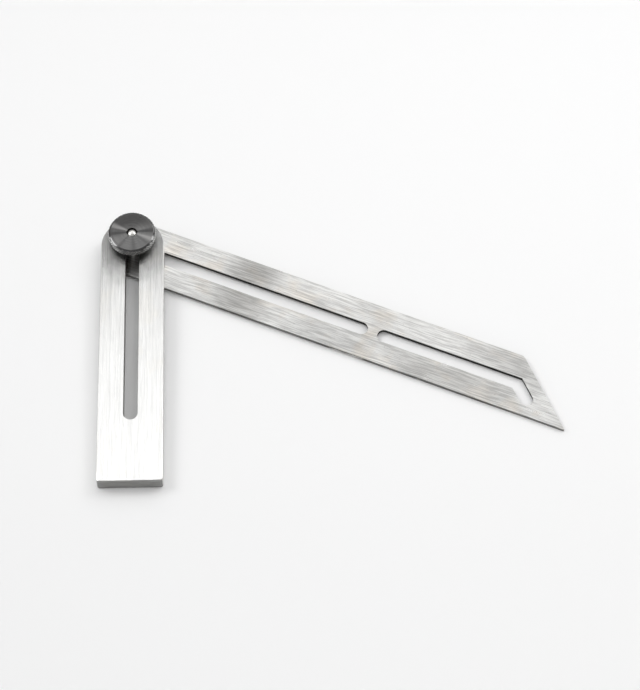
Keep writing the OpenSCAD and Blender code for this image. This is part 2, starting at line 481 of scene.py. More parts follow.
def startMaterial(name, anisotropy, turn=0.0):
    # turn: from the piece's X to the way its grain runs
    material = bpy.data.materials.new(name)
    material.use_nodes = True
    tree = material.node_tree
    tree.nodes.clear()
    shader = addNode(tree, "ShaderNodeBsdfPrincipled", {
        "Metallic": 1.0, "Anisotropic": anisotropy, "Anisotropic Rotation": 0.25})
    addNode(tree, "ShaderNodeOutputMaterial", {"Surface": shader.outputs[0]})
    if anisotropy:
        tangent = newField(tree, "ShaderNodeTangent", direction_type="UV_MAP", uv_map="grainUV")
        feed(tree, shader, "Tangent", tangent)
    place = newField(tree, "ShaderNodeTexCoord", output="Object")
    where = newField(tree, "ShaderNodeMapping", {"Vector": place, "Rotation": (0, 0, turn)})
    return material, shader, where


def finishMaterial(shader, colour, rough, height, strength, distance):
    tree = colour.tree
    bump = newField(tree, "ShaderNodeBump", {
        "Height": height, "Strength": strength, "Distance": distance, "Filter Width": 0.2})
    for key, value in (("Base Color", colour), ("Roughness", rough), ("Normal", bump)):
        feed(tree, shader, key, value)


def addCoat(tree, shader, weight, look):
    for key, value in (("Weight", weight), ("Roughness", look["coatRough"]), ("IOR", look["coatIor"])):
        feed(tree, shader, "Coat " + key, value)


def wornEdges(where, look):
    edge = newField(where.tree, "ShaderNodeAttribute", output="Fac", attribute_name="edge")
    return useGroup(where, "edgeWear", look, edge=edge)


groundMarks = {
    "specks": 0.22, "speckTone": (0.20, 0.19, 0.18), "nicks": 0.5, "nickTone": (0.16, 0.16, 0.155),
    "patchSway": 0.9, "bumpDistance": 0.00003,
}


def groundSteel(name, look, turn):
    # ground flat steel: pale base, lines along the bar, brighter worn edges, faint smudges
    material, shader, where = startMaterial(name, look["anisotropy"], turn)
    lines = useGroup(where, "groundLines", look)
    marks = useGroup(where, "handling", look)
    worn = wornEdges(where, look)
    tone = remap(lines["Fine"], 0.50 - look["streakSpread"], 0.50 + look["streakSpread"])
    colour = mixColours(tone, look["dark"], look["pale"])
    bands = remap(lines["Broad"], 0.35, 0.65, 1 - look["bandDepth"], 1.0)
    colour = mixColours(1.0, colour, grey(bands), "MULTIPLY")
    warm = remap(marks["Warm"], 0.52, 0.66) * look["warmth"]
    colour = mixColours(warm, colour, look["warmTint"], "MULTIPLY")
    for centre, reach, depth in look["paintedShadePatches"]:  # painted shade: darker patches that copy shadow and dark reflections
        moved = vectorMaths("ADD", where, [-value * mm for value in centre] + [0])
        scaled = vectorMaths("MULTIPLY", moved, [1 / (value * mm) for value in reach] + [0])
        away = lengthOf(scaled) + (marks["Warm"] - 0.5) * groundMarks["patchSway"]
        paintedShade = remap(away, 1.0, 0.15, 0.0, depth, smooth=True)
        colour = mixColours(paintedShade, colour, look["paintedShadeTone"], "MULTIPLY")
    mottle = remap(marks["Smudge"], 0.0, 1.0, 1.0, 1 - look["mottle"])
    colour = mixColours(1.0, colour, grey(mottle), "MULTIPLY")
    for show, tone in (
            (lines["Scratches"] * look["scratchShow"], look["scratchTone"]),
            (marks["Specks"] * groundMarks["specks"], groundMarks["speckTone"]),
            (worn["Wear"], look["wornTone"]),
            (worn["Nicks"] * groundMarks["nicks"], groundMarks["nickTone"])):
        colour = mixColours(show, colour, tone)
    rough = (lines["Broad"] - 0.5) * look["roughVary"] + look["roughness"]
    rough = rough + marks["Smudge"] * look["smudgeRough"]
    finishMaterial(shader, colour, rough, lines["Height"], look["bump"], groundMarks["bumpDistance"])
    return material


turnedMarks = {
    "sweepRange": (0.42, 0.62), "specks": 0.3, "roughVary": 0.10, "smudgeRough": 0.06,
    "paintedBrightAmount": 0.8, "paintedDullAmount": 0.9, "paintedDullOil": 0.45, "bumpDistance": 0.00002,
}


def turnedSteel(name, look):
    # steel from a lathe: rings round the axis, a slow sweep of tone, worn edges
    material, shader, where = startMaterial(name, look["anisotropy"])
    rings = useGroup(where, "turnedRings", look)
    marks = useGroup(where, "handling", look)
    worn = wornEdges(where, look)
    colour = mixColours(remap(rings["Rings"], 0.3, 0.7), look["dark"], look["pale"])
    sweep = remap(rings["Sweep"], *turnedMarks["sweepRange"])
    colour = mixColours(sweep * look["sweep"], colour, look["sweepTone"])
    if look.get("oil"):  # the thin oil film on black oxide lies thinner here and there round the face
        oil = remap(rings["Sweep"], *turnedMarks["sweepRange"], look["oil"], look["oil"] - look["oilSweep"])
        # painted highlight and shade: the bright fans lighten the colour; the dull fans darken it and thin
        # the oil coat
        if look["paintedFanAngle"]:
            paintedFans = useGroup(where, "paintedHighlightFans", look, angle=math.radians(-look["paintedFanAngle"]))
            colour = mixColours(paintedFans["Bright"] * turnedMarks["paintedBrightAmount"], colour, look["paintedHighlightTone"])
            colour = mixColours(paintedFans["paintedDull"] * turnedMarks["paintedDullAmount"], colour, look["sweepTone"])
            oil = oil - paintedFans["paintedDull"] * turnedMarks["paintedDullOil"]
        addCoat(where.tree, shader, oil, look)
    colour = mixColours(marks["Specks"] * turnedMarks["specks"], colour, look["speckTone"])
    colour = mixColours(worn["Wear"], colour, look["wornTone"])
    rough = (rings["Rings"] - 0.5) * turnedMarks["roughVary"] + look["roughness"]
    rough = rough + marks["Smudge"] * turnedMarks["smudgeRough"]
    finishMaterial(shader, colour, rough, rings["Height"], look["bump"], turnedMarks["bumpDistance"])
    return material


stock = {
    "width": 25.4, "thick": 6.35, "length": 119.2, "endWall": 7.3, "tail": 26.4, "low": 2.7, "slotR": 2.75,
    "cornerR": 1.0, "edgeBreak": 0.3, "slotBreak": 0.14, "ragged": 0.22, "endReach": 0.35, "rimReach": 0.3,
}

stockLook = {
    "roughness": 0.185, "anisotropy": 0.95, "acrossScale": 900.0, "alongScale": 60.0, "wander": 0.0003,
    "scratches": 0.6, "smudgeScale": 55.0, "speckScale": 900.0, "edgeWear": 0.25, "patchScale": 420.0,
    "dark": (0.71, 0.71, 0.70), "pale": (0.82, 0.82, 0.81), "warmth": 0.35,
    "warmTint": (1.0, 0.975, 0.93), "scratchTone": (0.5, 0.5, 0.49), "wornTone": (0.86, 0.86, 0.85),
    "roughVary": 0.06, "smudgeRough": 0.03, "bump": 1.0, "micro": 2.0, "mottle": 0.03, "scratchShow": 0.35,
    "streakSpread": 0.14, "bandDepth": 0.05,
    # painted shade: a dark patch by the nut, standing for the nut's shadow and dark reflection on the stock
    "paintedShadePatches": (((-7, 0), (17, 14), 0.9),), "paintedShadeTone": (0.56, 0.56, 0.555),  # centre, reach, depth
}

stockTurn = math.radians(-90)
stockFace = groundSteel("stockFace", stockLook, stockTurn)
# darker copies of the face steel for the sides, the square end and the slot walls: painted shade on the
# upright faces; their roughness and grain are their own
stockSide = groundSteel("stockSide", dict(
    stockLook, roughness=0.26, dark=(0.56, 0.56, 0.55), pale=(0.68, 0.68, 0.67), edgeWear=0.15),
    stockTurn)
stockEnd = groundSteel("stockEnd", dict(
    stockLook, roughness=0.46, anisotropy=0.4, acrossScale=1500.0, alongScale=160.0, edgeWear=0.3, bump=0.2,
    dark=(0.25, 0.25, 0.245), pale=(0.36, 0.36, 0.35), wornTone=(0.42, 0.42, 0.41)), 0.0)
stockSlotWall = groundSteel("stockSlotWall", dict(
    stockLook, roughness=0.42, anisotropy=0.4, dark=(0.20, 0.20, 0.195), pale=(0.33, 0.33, 0.32),
    edgeWear=0.2, wornTone=(0.60, 0.60, 0.59), bump=0.2), stockTurn)

half, c, r = stock["width"] / 2, stock["cornerR"], stock["slotR"]
far = r + stock["endWall"]
near = far - stock["length"]
slotNear = near + stock["tail"] + r
outline = closedPath(
    arcPoints(half - c, near + c, c, -90, 0, 9) + arcPoints(0, far - half, half, 0, 180, 2.5)
    + arcPoints(-half + c, near + c, c, 180, 270, 9))
slot = closedPath(arcPoints(0, 0, r, 0, 180) + arcPoints(0, slotNear, r, 180, 360))[::-1]
# the bar's length runs along -Y, so the plate is drawn along X and turned back
turnedOutline, turnedSlot = [[(-y, x) for x, y in path] for path in (outline, slot)]
shell = Shell()
faceMat, sideMat, endMat, slotMat = range(4)
plate(shell, turnedOutline, [turnedSlot], stock["low"], stock["low"] + stock["thick"],
      (stock["edgeBreak"], stock["slotBreak"]), stockTurn, (faceMat, sideMat, slotMat), stock["ragged"])
endLine = (near + stock["endReach"]) * mm
rimSide, rimTail = (r + stock["rimReach"]) * mm, (slotNear - r - stock["rimReach"]) * mm
for index, ids in enumerate(shell.faces):
    corners = [shell.verts[i] for i in ids]
    slanted = 0.1 < abs(shell.normals[index][0][2]) < 0.99
    atSlot = all(abs(x) < rimSide and y > rimTail for x, y, z in corners)
    if shell.mats[index] == faceMat and slanted and atSlot:  # the slot's rims take the slot-wall steel: painted shade
        shell.mats[index] = slotMat
    if shell.mats[index] == sideMat and all(y < endLine for x, y, z in corners):  # a coarser grind, and darker: painted shade
        shell.mats[index] = endMat
makePiece("stockBar", shell, [stockFace, stockSide, stockEnd, stockSlotWall], "stock")


blade = {
    "width": 25.4, "low": 1.2, "thick": 1.5, "back": -9.575, "tip": 189.775, "tipFlat": 0.4, "tipR": 0.22,
    "bluntU": 164.375, "bluntR": 3.0, "slotR": 2.75, "slot1": (-1.825, 99.875), "slot2": 109.725,
    "turnU": 165.903, "turnR": 0.3, "legEnd": (171.418, -5.515), "angle": -23.75, "edgeBreak": 0.10,
    "slotBreak": 0.09, "ragged": 0.35, "roundIn": 0.01,
}

bladeLook = {
    "roughness": 0.28, "anisotropy": 0.9, "acrossScale": 700.0, "alongScale": 85.0, "wander": 0.0011,
    "scratches": 1.0, "smudgeScale": 34.0, "speckScale": 800.0, "edgeWear": 0.5, "patchScale": 420.0,
    "dark": (0.68, 0.675, 0.66), "pale": (1.0, 1.0, 0.98), "wornTone": (0.90, 0.90, 0.88),
    "warmTint": (1.0, 0.955, 0.905), "scratchTone": (0.94, 0.94, 0.92), "warmth": 0.9,
    "roughVary": 0.14, "smudgeRough": 0.10, "bump": 0.6, "micro": 0.4, "mottle": 0.10, "scratchShow": 0.8,
    "streakSpread": 0.08, "bandDepth": 0.14,
    # painted shade: dark bands across the blade that copy its reflections
    "paintedShadePatches": (((51, 0), (16, 60), 0.64), ((141, -9), (36, 13), 0.55), ((160, 8), (30, 10), 0.3)),
    "paintedShadeTone": (0.52, 0.51, 0.50),
}

bladeTurn = math.radians(blade["angle"])
bladeFace = groundSteel("bladeFace", bladeLook, -bladeTurn)
# darker copies of the face steel for the blade's edges and slot walls: painted shade, near black on the slot
# walls
bladeEdge = groundSteel("bladeEdge", dict(
    bladeLook, roughness=0.40, anisotropy=0.5, dark=(0.15, 0.15, 0.145), pale=(0.28, 0.28, 0.27),
    edgeWear=0.3, wornTone=(0.6, 0.6, 0.59)), -bladeTurn)
bladeSlotWall = groundSteel("bladeSlotWall", dict(
    bladeLook, roughness=0.55, anisotropy=0.3, dark=(0.020, 0.0195, 0.019), pale=(0.055, 0.054, 0.052),
    edgeWear=0.12, wornTone=(0.55, 0.55, 0.54), scratchTone=(0.14, 0.14, 0.135)), -bladeTurn)

half, r = blade["width"] / 2, blade["slotR"]
mitre, diagonal = math.tan(math.radians(22.5)), 0.70711  # for turns of 45 degrees
tipU = blade["tip"] - blade["tipFlat"]
backR = half - blade["roundIn"]  # keeps the round end inside the solid's
outline = closedPath(
    arcPoints(blade["back"] + half, 0, backR, 90, 270, 2.5)
    + roundedCorner((blade["slot2"], -half), (tipU, -half), (tipU, half), blade["tipR"])
    + arcPoints(blade["bluntU"] - blade["bluntR"] * mitre, half - blade["bluntR"], blade["bluntR"], 45, 90))
first, last = blade["slot1"]
slotOne = closedPath(arcPoints(last, 0, r, -90, 90) + arcPoints(first, 0, r, 90, 270))[::-1]
start, (legU, legW), side = blade["slot2"], blade["legEnd"], r * diagonal
innerTurn, outerTurn = (blade["turnU"] - r * mitre, -r), (blade["turnU"] + r * mitre, r)
slotTwo = closedPath(
    arcPoints(start, 0, r, 90, 270)
    + roundedCorner((start, -r), innerTurn, (legU - side, legW - side), blade["turnR"])
    + arcPoints(legU, legW, r, 225, 405)
    + roundedCorner((legU + side, legW + side), outerTurn, (start, r), blade["turnR"]))[::-1]
shell = Shell()
plate(shell, outline, [slotOne, slotTwo], blade["low"], blade["low"] + blade["thick"],
      (blade["edgeBreak"], blade["slotBreak"]), bladeTurn, (0, 1, 2), blade["ragged"])
makePiece("bladeStrip", shell, [bladeFace, bladeEdge, bladeSlotWall], "blade")


bolt = {
    "headD": 13.0, "headT": 1.2, "headBevel": 0.4, "shankD": 5.36, "shankTop": 8.95, "round": 0.12,
    "threadD": 4.1, "pitch": 0.7, "threadDepth": 0.32, "fadeIn": 0.3, "fadeOut": 0.25, "tip": 14.35,
    "dome": 0.9, "neck": 0.05, "lap": 0.1, "collarD": 7.0, "collarLow": 0.6, "collarTop": 2.6,
    "collarBreak": 0.12, "flats": 5.4,
}

boltLook = {
    "roughness": 0.24, "anisotropy": 0.6, "ringScale": 3400.0, "wobble": 0.00004, "smudgeScale": 160.0,
    "speckScale": 1400.0, "edgeWear": 0.4, "patchScale": 900.0, "bump": 0.18, "sweep": 0.25,
    "dark": (0.55, 0.55, 0.54), "pale": (0.78, 0.78, 0.77), "sweepTone": (0.48, 0.47, 0.46),
    "speckTone": (0.2, 0.19, 0.18), "wornTone": (0.86, 0.86, 0.85),
}
boltSteel = turnedSteel("boltSteel", boltLook)
# a darker copy of the bolt steel: painted shade on the thread down in the nut's hole
threadSteel = turnedSteel("threadSteel", dict(
    boltLook, roughness=0.4, anisotropy=0.0, dark=(0.16, 0.155, 0.15), pale=(0.30, 0.295, 0.28),
    edgeWear=0.2, sweepTone=(0.12, 0.115, 0.11)))
domeSteel = turnedSteel("domeSteel", dict(
    boltLook, roughness=0.28, anisotropy=0.0, sweep=0.1, dark=(0.70, 0.69, 0.66),
    pale=(0.88, 0.87, 0.84)))

shell = Shell()
headR, shankR, threadR = bolt["headD"] / 2, bolt["shankD"] / 2, bolt["threadD"] / 2
headProfile = roundProfile([
    (0, 0), (headR - bolt["headBevel"], 0), (headR, bolt["headBevel"]), (headR, bolt["headT"]),
    (shankR, bolt["headT"]), (shankR, bolt["shankTop"]), (threadR - bolt["neck"], bolt["shankTop"])],
    bolt["round"])
lathe(shell, headProfile, 128, [0] * len(headProfile))
# the thread and the domed tip
threadLow, threadHigh = bolt["shankTop"] - bolt["lap"], bolt["tip"] - bolt["dome"]
rowsPerTurn, domeSteps, darkSteps = 8, 14, 4  # the dome's first steps take the thread's dark steel: a painted dark reflection round the dome's edge
rows = int((threadHigh - threadLow) / (bolt["pitch"] / rowsPerTurn))
stem = [(0, threadLow), (threadR - sliver, threadLow)]
stem += [(threadR, threadLow + (threadHigh - threadLow) * k / rows) for k in range(1, rows)]
domeR = (threadR ** 2 + bolt["dome"] ** 2) / (2 * bolt["dome"])
domeAngles = [math.asin(threadR / domeR) * (1 - k / domeSteps) for k in range(1, domeSteps)]
cap = [(domeR * math.sin(a), bolt["tip"] - domeR + domeR * math.cos(a)) for a in domeAngles]


def threadVee(z, a):
    # 0 on the bolt's crest and 1 in its root. The nut's thread follows the same spiral
    return abs(2 * (((z - threadLow) / bolt["pitch"] - a / math.tau) % 1.0) - 1)


def threadBend(r, z, a):
    if z <= threadLow or z >= threadHigh - sliver:
        return r, z
    fade = min(1.0, (z - threadLow) / bolt["fadeIn"], (threadHigh - z) / bolt["fadeOut"])
    return r - bolt["threadDepth"] * fade * min(1.0, max(0.0, threadVee(z, a) * 1.25 - 0.1)), z


threadMats = [1] * (len(stem) + darkSteps) + [2] * (domeSteps - darkSteps)
lathe(shell, stem + [(threadR, threadHigh)] + cap + [(0, bolt["tip"])], 64, threadMats,
      bend=threadBend, sharpAngle=50)
collarR = bolt["collarD"] / 2
reach = math.degrees(math.asin(bolt["flats"] / 2 / collarR))
collar = closedPath(
    arcPoints(0, 0, collarR, -reach, reach) + arcPoints(0, 0, collarR, 180 - reach, 180 + reach), 1.0)
plate(shell, collar, [], bolt["collarLow"], bolt["collarTop"], (bolt["collarBreak"], 0), bladeTurn,
      (0, 0, 0), steps=3)
makePiece("boltBody", shell, [boltSteel, threadSteel, domeSteel], "clamp_bolt")


washer = {"outer": 6.35, "inner": 2.1, "low": 9.05, "high": 10.15, "round": 0.2}

washerSteel = turnedSteel("washerSteel", dict(
    boltLook, roughness=0.3, dark=(0.48, 0.48, 0.47), pale=(0.70, 0.70, 0.69), ringScale=2600.0))
middle = (washer["inner"], (washer["low"] + washer["high"]) / 2)
ringProfile = roundProfile([
    middle, (washer["inner"], washer["low"]), (washer["outer"], washer["low"]),
    (washer["outer"], washer["high"]), (washer["inner"], washer["high"]), middle], washer["round"])[:-1]
shell = Shell()
lathe(shell, ringProfile, 128, [0] * len(ringProfile), closed=True)
makePiece("washerRing", shell, [washerSteel], "washer")


nut = {
    "radius": 9.55, "low": 10.15, "footD": 11.4, "footH": 1.35, "footRound": 0.1, "discH": 3.15,
    "bevelH": 0.34, "bevelW": 0.90, "lowBevelH": 0.25, "lowBevelW": 0.6, "crown": 0.06, "outOfSquare": 0.022,
    "holeR": 2.1, "mouth": 0.2, "mouthDrop": 0.03, "chamfer": 0.15, "threadDepth": 0.3, "fadeOut": 0.12,
    "knurlCount": 56, "knurlDepth": 0.30, "valleyRim": 0.34, "valleyMid": 0.20, "valleyWide": 2.2,
}

nutLook = {
    "roughness": 0.32, "anisotropy": 1.0, "ringScale": 3000.0, "wobble": 0.00004, "smudgeScale": 160.0,
    "speckScale": 1500.0, "edgeWear": 0.25, "patchScale": 900.0, "bump": 0.25, "sweep": 0.4,
    "dark": (0.036, 0.035, 0.034), "pale": (0.085, 0.083, 0.081), "oil": 1.0, "oilSweep": 0.35,
    "coatRough": 0.08, "coatIor": 2.0, "paintedFanAngle": 171.0, "paintedHighlightTone": (0.24, 0.235, 0.23),
    "sweepTone": (0.03, 0.029, 0.029), "speckTone": (0.30, 0.29, 0.28), "wornTone": (0.42, 0.42, 0.41),
}
nutFace = turnedSteel("nutFace", nutLook)
nutFoot = turnedSteel("nutFoot", dict(nutLook, roughness=0.34, edgeWear=0.4))
nutBore = turnedSteel("nutBore", dict(
    nutLook, roughness=0.45, anisotropy=0.0, dark=(0.05, 0.05, 0.05), pale=(0.10, 0.098, 0.095),
    edgeWear=0.2))
# a darker copy of the face steel for the knurl's valleys in the top chamfer: painted shade in the recesses
nutValley = turnedSteel("nutValley", dict(
    nutLook, paintedFanAngle=None, roughness=0.40, anisotropy=0.0, dark=(0.010, 0.0098, 0.0096),
    pale=(0.024, 0.0235, 0.023), edgeWear=0.1, oilSweep=0.1))

discLow = nut["low"] + nut["footH"]
nutTop = discLow + nut["discH"]
footR = nut["footD"] / 2
coreR = nut["radius"] - nut["knurlDepth"]
faceR = nut["radius"] - nut["bevelW"]
lowFaceR = nut["radius"] - nut["lowBevelW"]
midR = (coreR + faceR) / 2  # halfway across the top chamfer, where the knurl's valleys run out
drop = nut["bevelH"] * (coreR - faceR) / nut["bevelW"]
lowDrop = nut["lowBevelH"] * (coreR - lowFaceR) / nut["lowBevelW"]
boreTop = nutTop - nut["mouth"] - nut["mouthDrop"]
boreLow = nut["low"] + nut["chamfer"]
mouthR = nut["holeR"] + nut["mouth"]
boreRows, faceRings = 44, 9


def crownAt(radius):
    return nutTop - nut["crown"] * (radius / faceR) ** 2


# each row: radius, height, wear, material of the span after it (0 face, 1 foot, 2 bore, 3 valleys)
nutRows = [(nut["holeR"], boreTop - (boreTop - boreLow) * k / boreRows, 0.0, 2) for k in range(boreRows + 1)]
nutRows += [
    (nut["holeR"] + nut["chamfer"], nut["low"], 0.3, 2),
    (footR - nut["chamfer"], nut["low"], 0.2, 1),
    (footR, nut["low"] + nut["chamfer"], 0.3, 1),
    (footR, discLow - nut["footRound"], 0.0, 1),
    (footR + nut["footRound"], discLow, 0.0, 1),
    (lowFaceR, discLow, 0.3, 0),
    (coreR, discLow + lowDrop, 0.1, 3),
    (coreR, nutTop - drop - nut["crown"] * 0.5, 0.0, 3),
    (midR, nutTop - drop * 0.5 - nut["crown"] * 0.75, 0.0, 3),
    (faceR + sliver, crownAt(faceR), 0.35, 0)]
for k in range(1, faceRings + 1):
    radius = faceR + (mouthR - faceR) * k / faceRings
    nutRows.append((radius, crownAt(radius), 0.45 if k == faceRings else 0.0, 0))


def nutBend(r, z, a):
    # cuts the knurl's valleys into the top chamfer, and the thread into the hole
    slack = 0.01
    if z > nutTop - drop - nut["crown"] and r > midR - slack:
        tooth = 1 - abs(((a / math.tau * nut["knurlCount"]) % 1.0) * 2 - 1)  # 0 in a valley, 1 on a tooth
        deep = nut["valleyRim"] if r > coreR - slack else nut["valleyMid"]
        return r, z - deep * max(0.0, 1 - tooth * nut["valleyWide"])
    if r > nut["holeR"] or z > boreTop - slack or z < boreLow + slack:
        return r, z
    fade = min(1.0, (boreTop - z) / nut["fadeOut"])
    return r + nut["threadDepth"] * fade * min(1.0, max(0.0, 1.0 - threadVee(z, a) * 1.2)), z


shell = Shell()
lathe(shell, [row[:2] for row in nutRows], 6 * nut["knurlCount"], [row[3] for row in nutRows], closed=True,
      edges=[row[2] for row in nutRows], bend=nutBend, sharpAngle=15)
for index, normals in enumerate(shell.normals):  # cut a hair out of square, which its sheen shows
    if all(n[2] > 0.995 for n in normals):
        shell.normals[index] = [(n[0], n[1] - nut["outOfSquare"], n[2]) for n in normals]
makePiece("nutBody", shell, [nutFace, nutFoot, nutBore, nutValley], "knurled_nut")


knurl = {
    "rows": 4, "low": 0.3, "high": 0.25, "halfWide": 0.56, "tall": 1.06, "sunk": 1.12, "tipFlat": 0.10,
    "cutIn": 0.02, "leanVary": 0.09, "sideVary": 0.30,
}

toothLook = {
    "dark": (0.009, 0.0088, 0.0086), "pale": (0.020, 0.0196, 0.0192), "roughness": 0.26,
    "wornTone": (0.60, 0.60, 0.59), "wornFrom": 0.24, "wornTo": 0.06, "edgeWear": 0.75,
    "patchScale": 1000.0, "speckTone": (0.30, 0.29, 0.28), "specks": 0.4, "speckScale": 1300.0,
    "smudgeScale": 220.0, "smudgeRough": 0.14, "ringScale": 4000.0, "wobble": 0.00003,
    "coatRough": 0.14, "coatIor": 1.45, "bump": 0.12,
}


def toothSteel(look):
    # black oxide teeth, rubbed bright at their tips
    material, shader, where = startMaterial("nutKnurlSteel", 0.0)
    rings = useGroup(where, "turnedRings", look)
    marks = useGroup(where, "handling", look)
    tips = remap(rings["Radius"], (nut["radius"] - look["wornFrom"]) * mm,
                 (nut["radius"] - look["wornTo"]) * mm, smooth=True)
    worn = useGroup(where, "edgeWear", look, edge=tips)
    colour = mixColours(remap(marks["Warm"], 0.35, 0.65), look["dark"], look["pale"])
    colour = mixColours(worn["Wear"], colour, look["wornTone"])
    colour = mixColours(marks["Specks"] * look["specks"], colour, look["speckTone"])
    rough = marks["Smudge"] * look["smudgeRough"] + look["roughness"]
    addCoat(where.tree, shader, 1.0, look)
    finishMaterial(shader, colour, rough, rings["Rings"], look["bump"], turnedMarks["bumpDistance"])
    return material


def knurlTree():
    # diamond teeth round a cylinder: rows of four-sided pyramids, every other row half a tooth on
    tree, given = newGroup(
        "diamondKnurl", ["radius", "depth", "rowStep", "low", "tipFlat"], "GeometryNodeTree",
        count="Int", rows="Int", material="Material")
    index = newField(tree, "GeometryNodeInputIndex")
    row = maths(tree, "FLOOR", maths(tree, "DIVIDE", index, given["count"]))
    column = maths(tree, "MODULO", index, given["count"])
    stepAngle = maths(tree, "DIVIDE", math.tau, given["count"])
    angle = (column + maths(tree, "MODULO", row, 2.0) * 0.5) * stepAngle
    sunk = given["depth"] * knurl["sunk"]  # the base stands just inside the core
    baseR = given["radius"] - sunk
    place = joinVector(
        tree, maths(tree, "COSINE", angle) * baseR, maths(tree, "SINE", angle) * baseR,
        given["low"] + row * given["rowStep"])
    points = newField(tree, "GeometryNodePoints", {
        "Count": given["count"] * given["rows"], "Position": place})
    halfWide = stepAngle * knurl["halfWide"] * given["radius"]
    tooth = newField(tree, "GeometryNodeMeshCone", {
        "Vertices": 4, "Radius Top": given["tipFlat"], "Radius Bottom": halfWide, "Depth": sunk})
    lying = newField(tree, "GeometryNodeTransform", {"Geometry": tooth, "Rotation": (0, math.pi / 2, 0)})
    tall = maths(tree, "DIVIDE", given["rowStep"] * knurl["tall"], halfWide)
    sized = newField(tree, "GeometryNodeTransform", {
        "Geometry": lying, "Scale": joinVector(tree, 1.0, 1.0, tall)})
    instances = newField(tree, "GeometryNodeInstanceOnPoints", {
        "Points": points, "Instance": sized, "Rotation": joinVector(tree, z=angle)})
    solid = newField(tree, "GeometryNodeRealizeInstances", {"Geometry": instances})
    dressed = newField(tree, "GeometryNodeSetMaterial", {"Geometry": solid, "Material": given["material"]})
    return closeGroup(tree, {"Geometry": dressed}, "Geometry")


toothMaterial = toothSteel(toothLook)
rimMaterial = turnedSteel("nutRimSteel", dict(  # where the chamfers cut the teeth
    nutLook, paintedFanAngle=None, roughness=0.20, anisotropy=0.0, oil=0.8, oilSweep=0.1,
    dark=(0.27, 0.267, 0.26), pale=(0.66, 0.65, 0.64)))
bandLow, bandHigh = discLow + knurl["low"], nutTop - knurl["high"]
carrier = addObject("knurlCarrier", bpy.data.meshes.new("knurlCarrier"))
modifier = carrier.modifiers.new("knurl", "NODES")
modifier.node_group = knurlTree()
settings = {
    "count": nut["knurlCount"], "rows": knurl["rows"], "radius": nut["radius"] * mm,
    "depth": nut["knurlDepth"] * mm, "rowStep": (bandHigh - bandLow) / (knurl["rows"] - 1) * mm,
    "low": bandLow * mm, "tipFlat": knurl["tipFlat"] * mm, "material": toothMaterial,
}
for item in modifier.node_group.interface.items_tree:
    if item.in_out == "INPUT":
        modifier[item.identifier] = settings[item.name]
evaluated = carrier.evaluated_get(bpy.context.evaluated_depsgraph_get())
teeth = bpy.data.meshes.new_from_object(evaluated)
carrier.modifiers.clear()
bpy.data.objects.remove(carrier)

work = bmesh.new()
work.from_mesh(teeth)
work.verts.ensure_lookup_table()
for face in work.faces:
    face.material_index = 0
toothCount = nut["knurlCount"] * knurl["rows"]
size = len(work.verts) // toothCount
eachTooth = [work.verts[number * size:(number + 1) * size] for number in range(toothCount)]
chamfers = {  # by the side it is on: lean of its normal, radius and height of its inner edge
    1: (math.atan2(nut["bevelW"], nut["bevelH"]), faceR, nutTop - knurl["cutIn"]),
    -1: (math.atan2(nut["lowBevelW"], nut["lowBevelH"]), lowFaceR, discLow + knurl["cutIn"]),
}
for number, corners in enumerate(eachTooth):  # the nut's chamfers cut off the ends of the teeth
    row, column = divmod(number, nut["knurlCount"])
    angle = math.tau * (column + 0.5 * (row % 2)) / nut["knurlCount"]
    up = 1 if row >= knurl["rows"] - 2 else -1
    lean, cutR, cutZ = chamfers[up]
    # no two cuts lie quite alike, so some teeth glint and others don't
    lean += knurl["leanVary"] * math.sin(number * 12.99)
    side = angle + knurl["sideVary"] * math.sin(number * 78.23)
    plane = Vector((math.cos(lean) * math.cos(side), math.cos(lean) * math.sin(side), math.sin(lean) * up))
    onPlane = Vector((cutR * math.cos(angle), cutR * math.sin(angle), cutZ)) * mm
    edges = list({edge for corner in corners for edge in corner.link_edges})
    faces = list({face for corner in corners for face in corner.link_faces})
    cut = bmesh.ops.bisect_plane(work, geom=corners + edges + faces, dist=1e-8, plane_co=onPlane,
                                 plane_no=plane, clear_outer=True)
    rim = [e for e in cut["geom_cut"] if isinstance(e, bmesh.types.BMEdge) and e.is_boundary]
    if rim:
        for face in bmesh.ops.edgeloop_fill(work, edges=rim)["faces"]:
            face.material_index = 1
bmesh.ops.recalc_face_normals(work, faces=work.faces[:])
work.to_mesh(teeth)
work.free()
teeth.name = "nutKnurl"
teeth.materials.clear()
teeth.materials.append(toothMaterial)
teeth.materials.append(rimMaterial)
for polygon in teeth.polygons:
    polygon.use_smooth = False
addPiece("nutKnurl", teeth, "knurled_nut")


stage = {
    "slopeX": -0.00529, "slopeY": -0.02556, "level": -0.159,  # the plane that the tool's contacts lie in
    "reach": 6.0, "bendStart": -0.095, "bendLength": 0.025, "bendRows": 10,
    "floorTone": 0.94, "toneX": 0.16, "toneY": -0.10, "toneRange": (0.90, 0.99), "floorRough": 0.7,
    "floorShine": 0.1, "fadeRange": (0.30, 0.60), "backdrop": 0.93, "horizon": 0.44, "ceiling": 0.36,
    "ceilingRange": (0.40, 0.70),
}


def seenDirectly(tree):
    # 1 for what the camera, metal or glass sees, 0 for the light that falls on things
    path = tree.nodes.new("ShaderNodeLightPath").outputs
    some = maths(tree, "MAXIMUM", path["Is Camera Ray"], path["Is Glossy Ray"])
    return maths(tree, "MAXIMUM", some, path["Is Transmission Ray"])


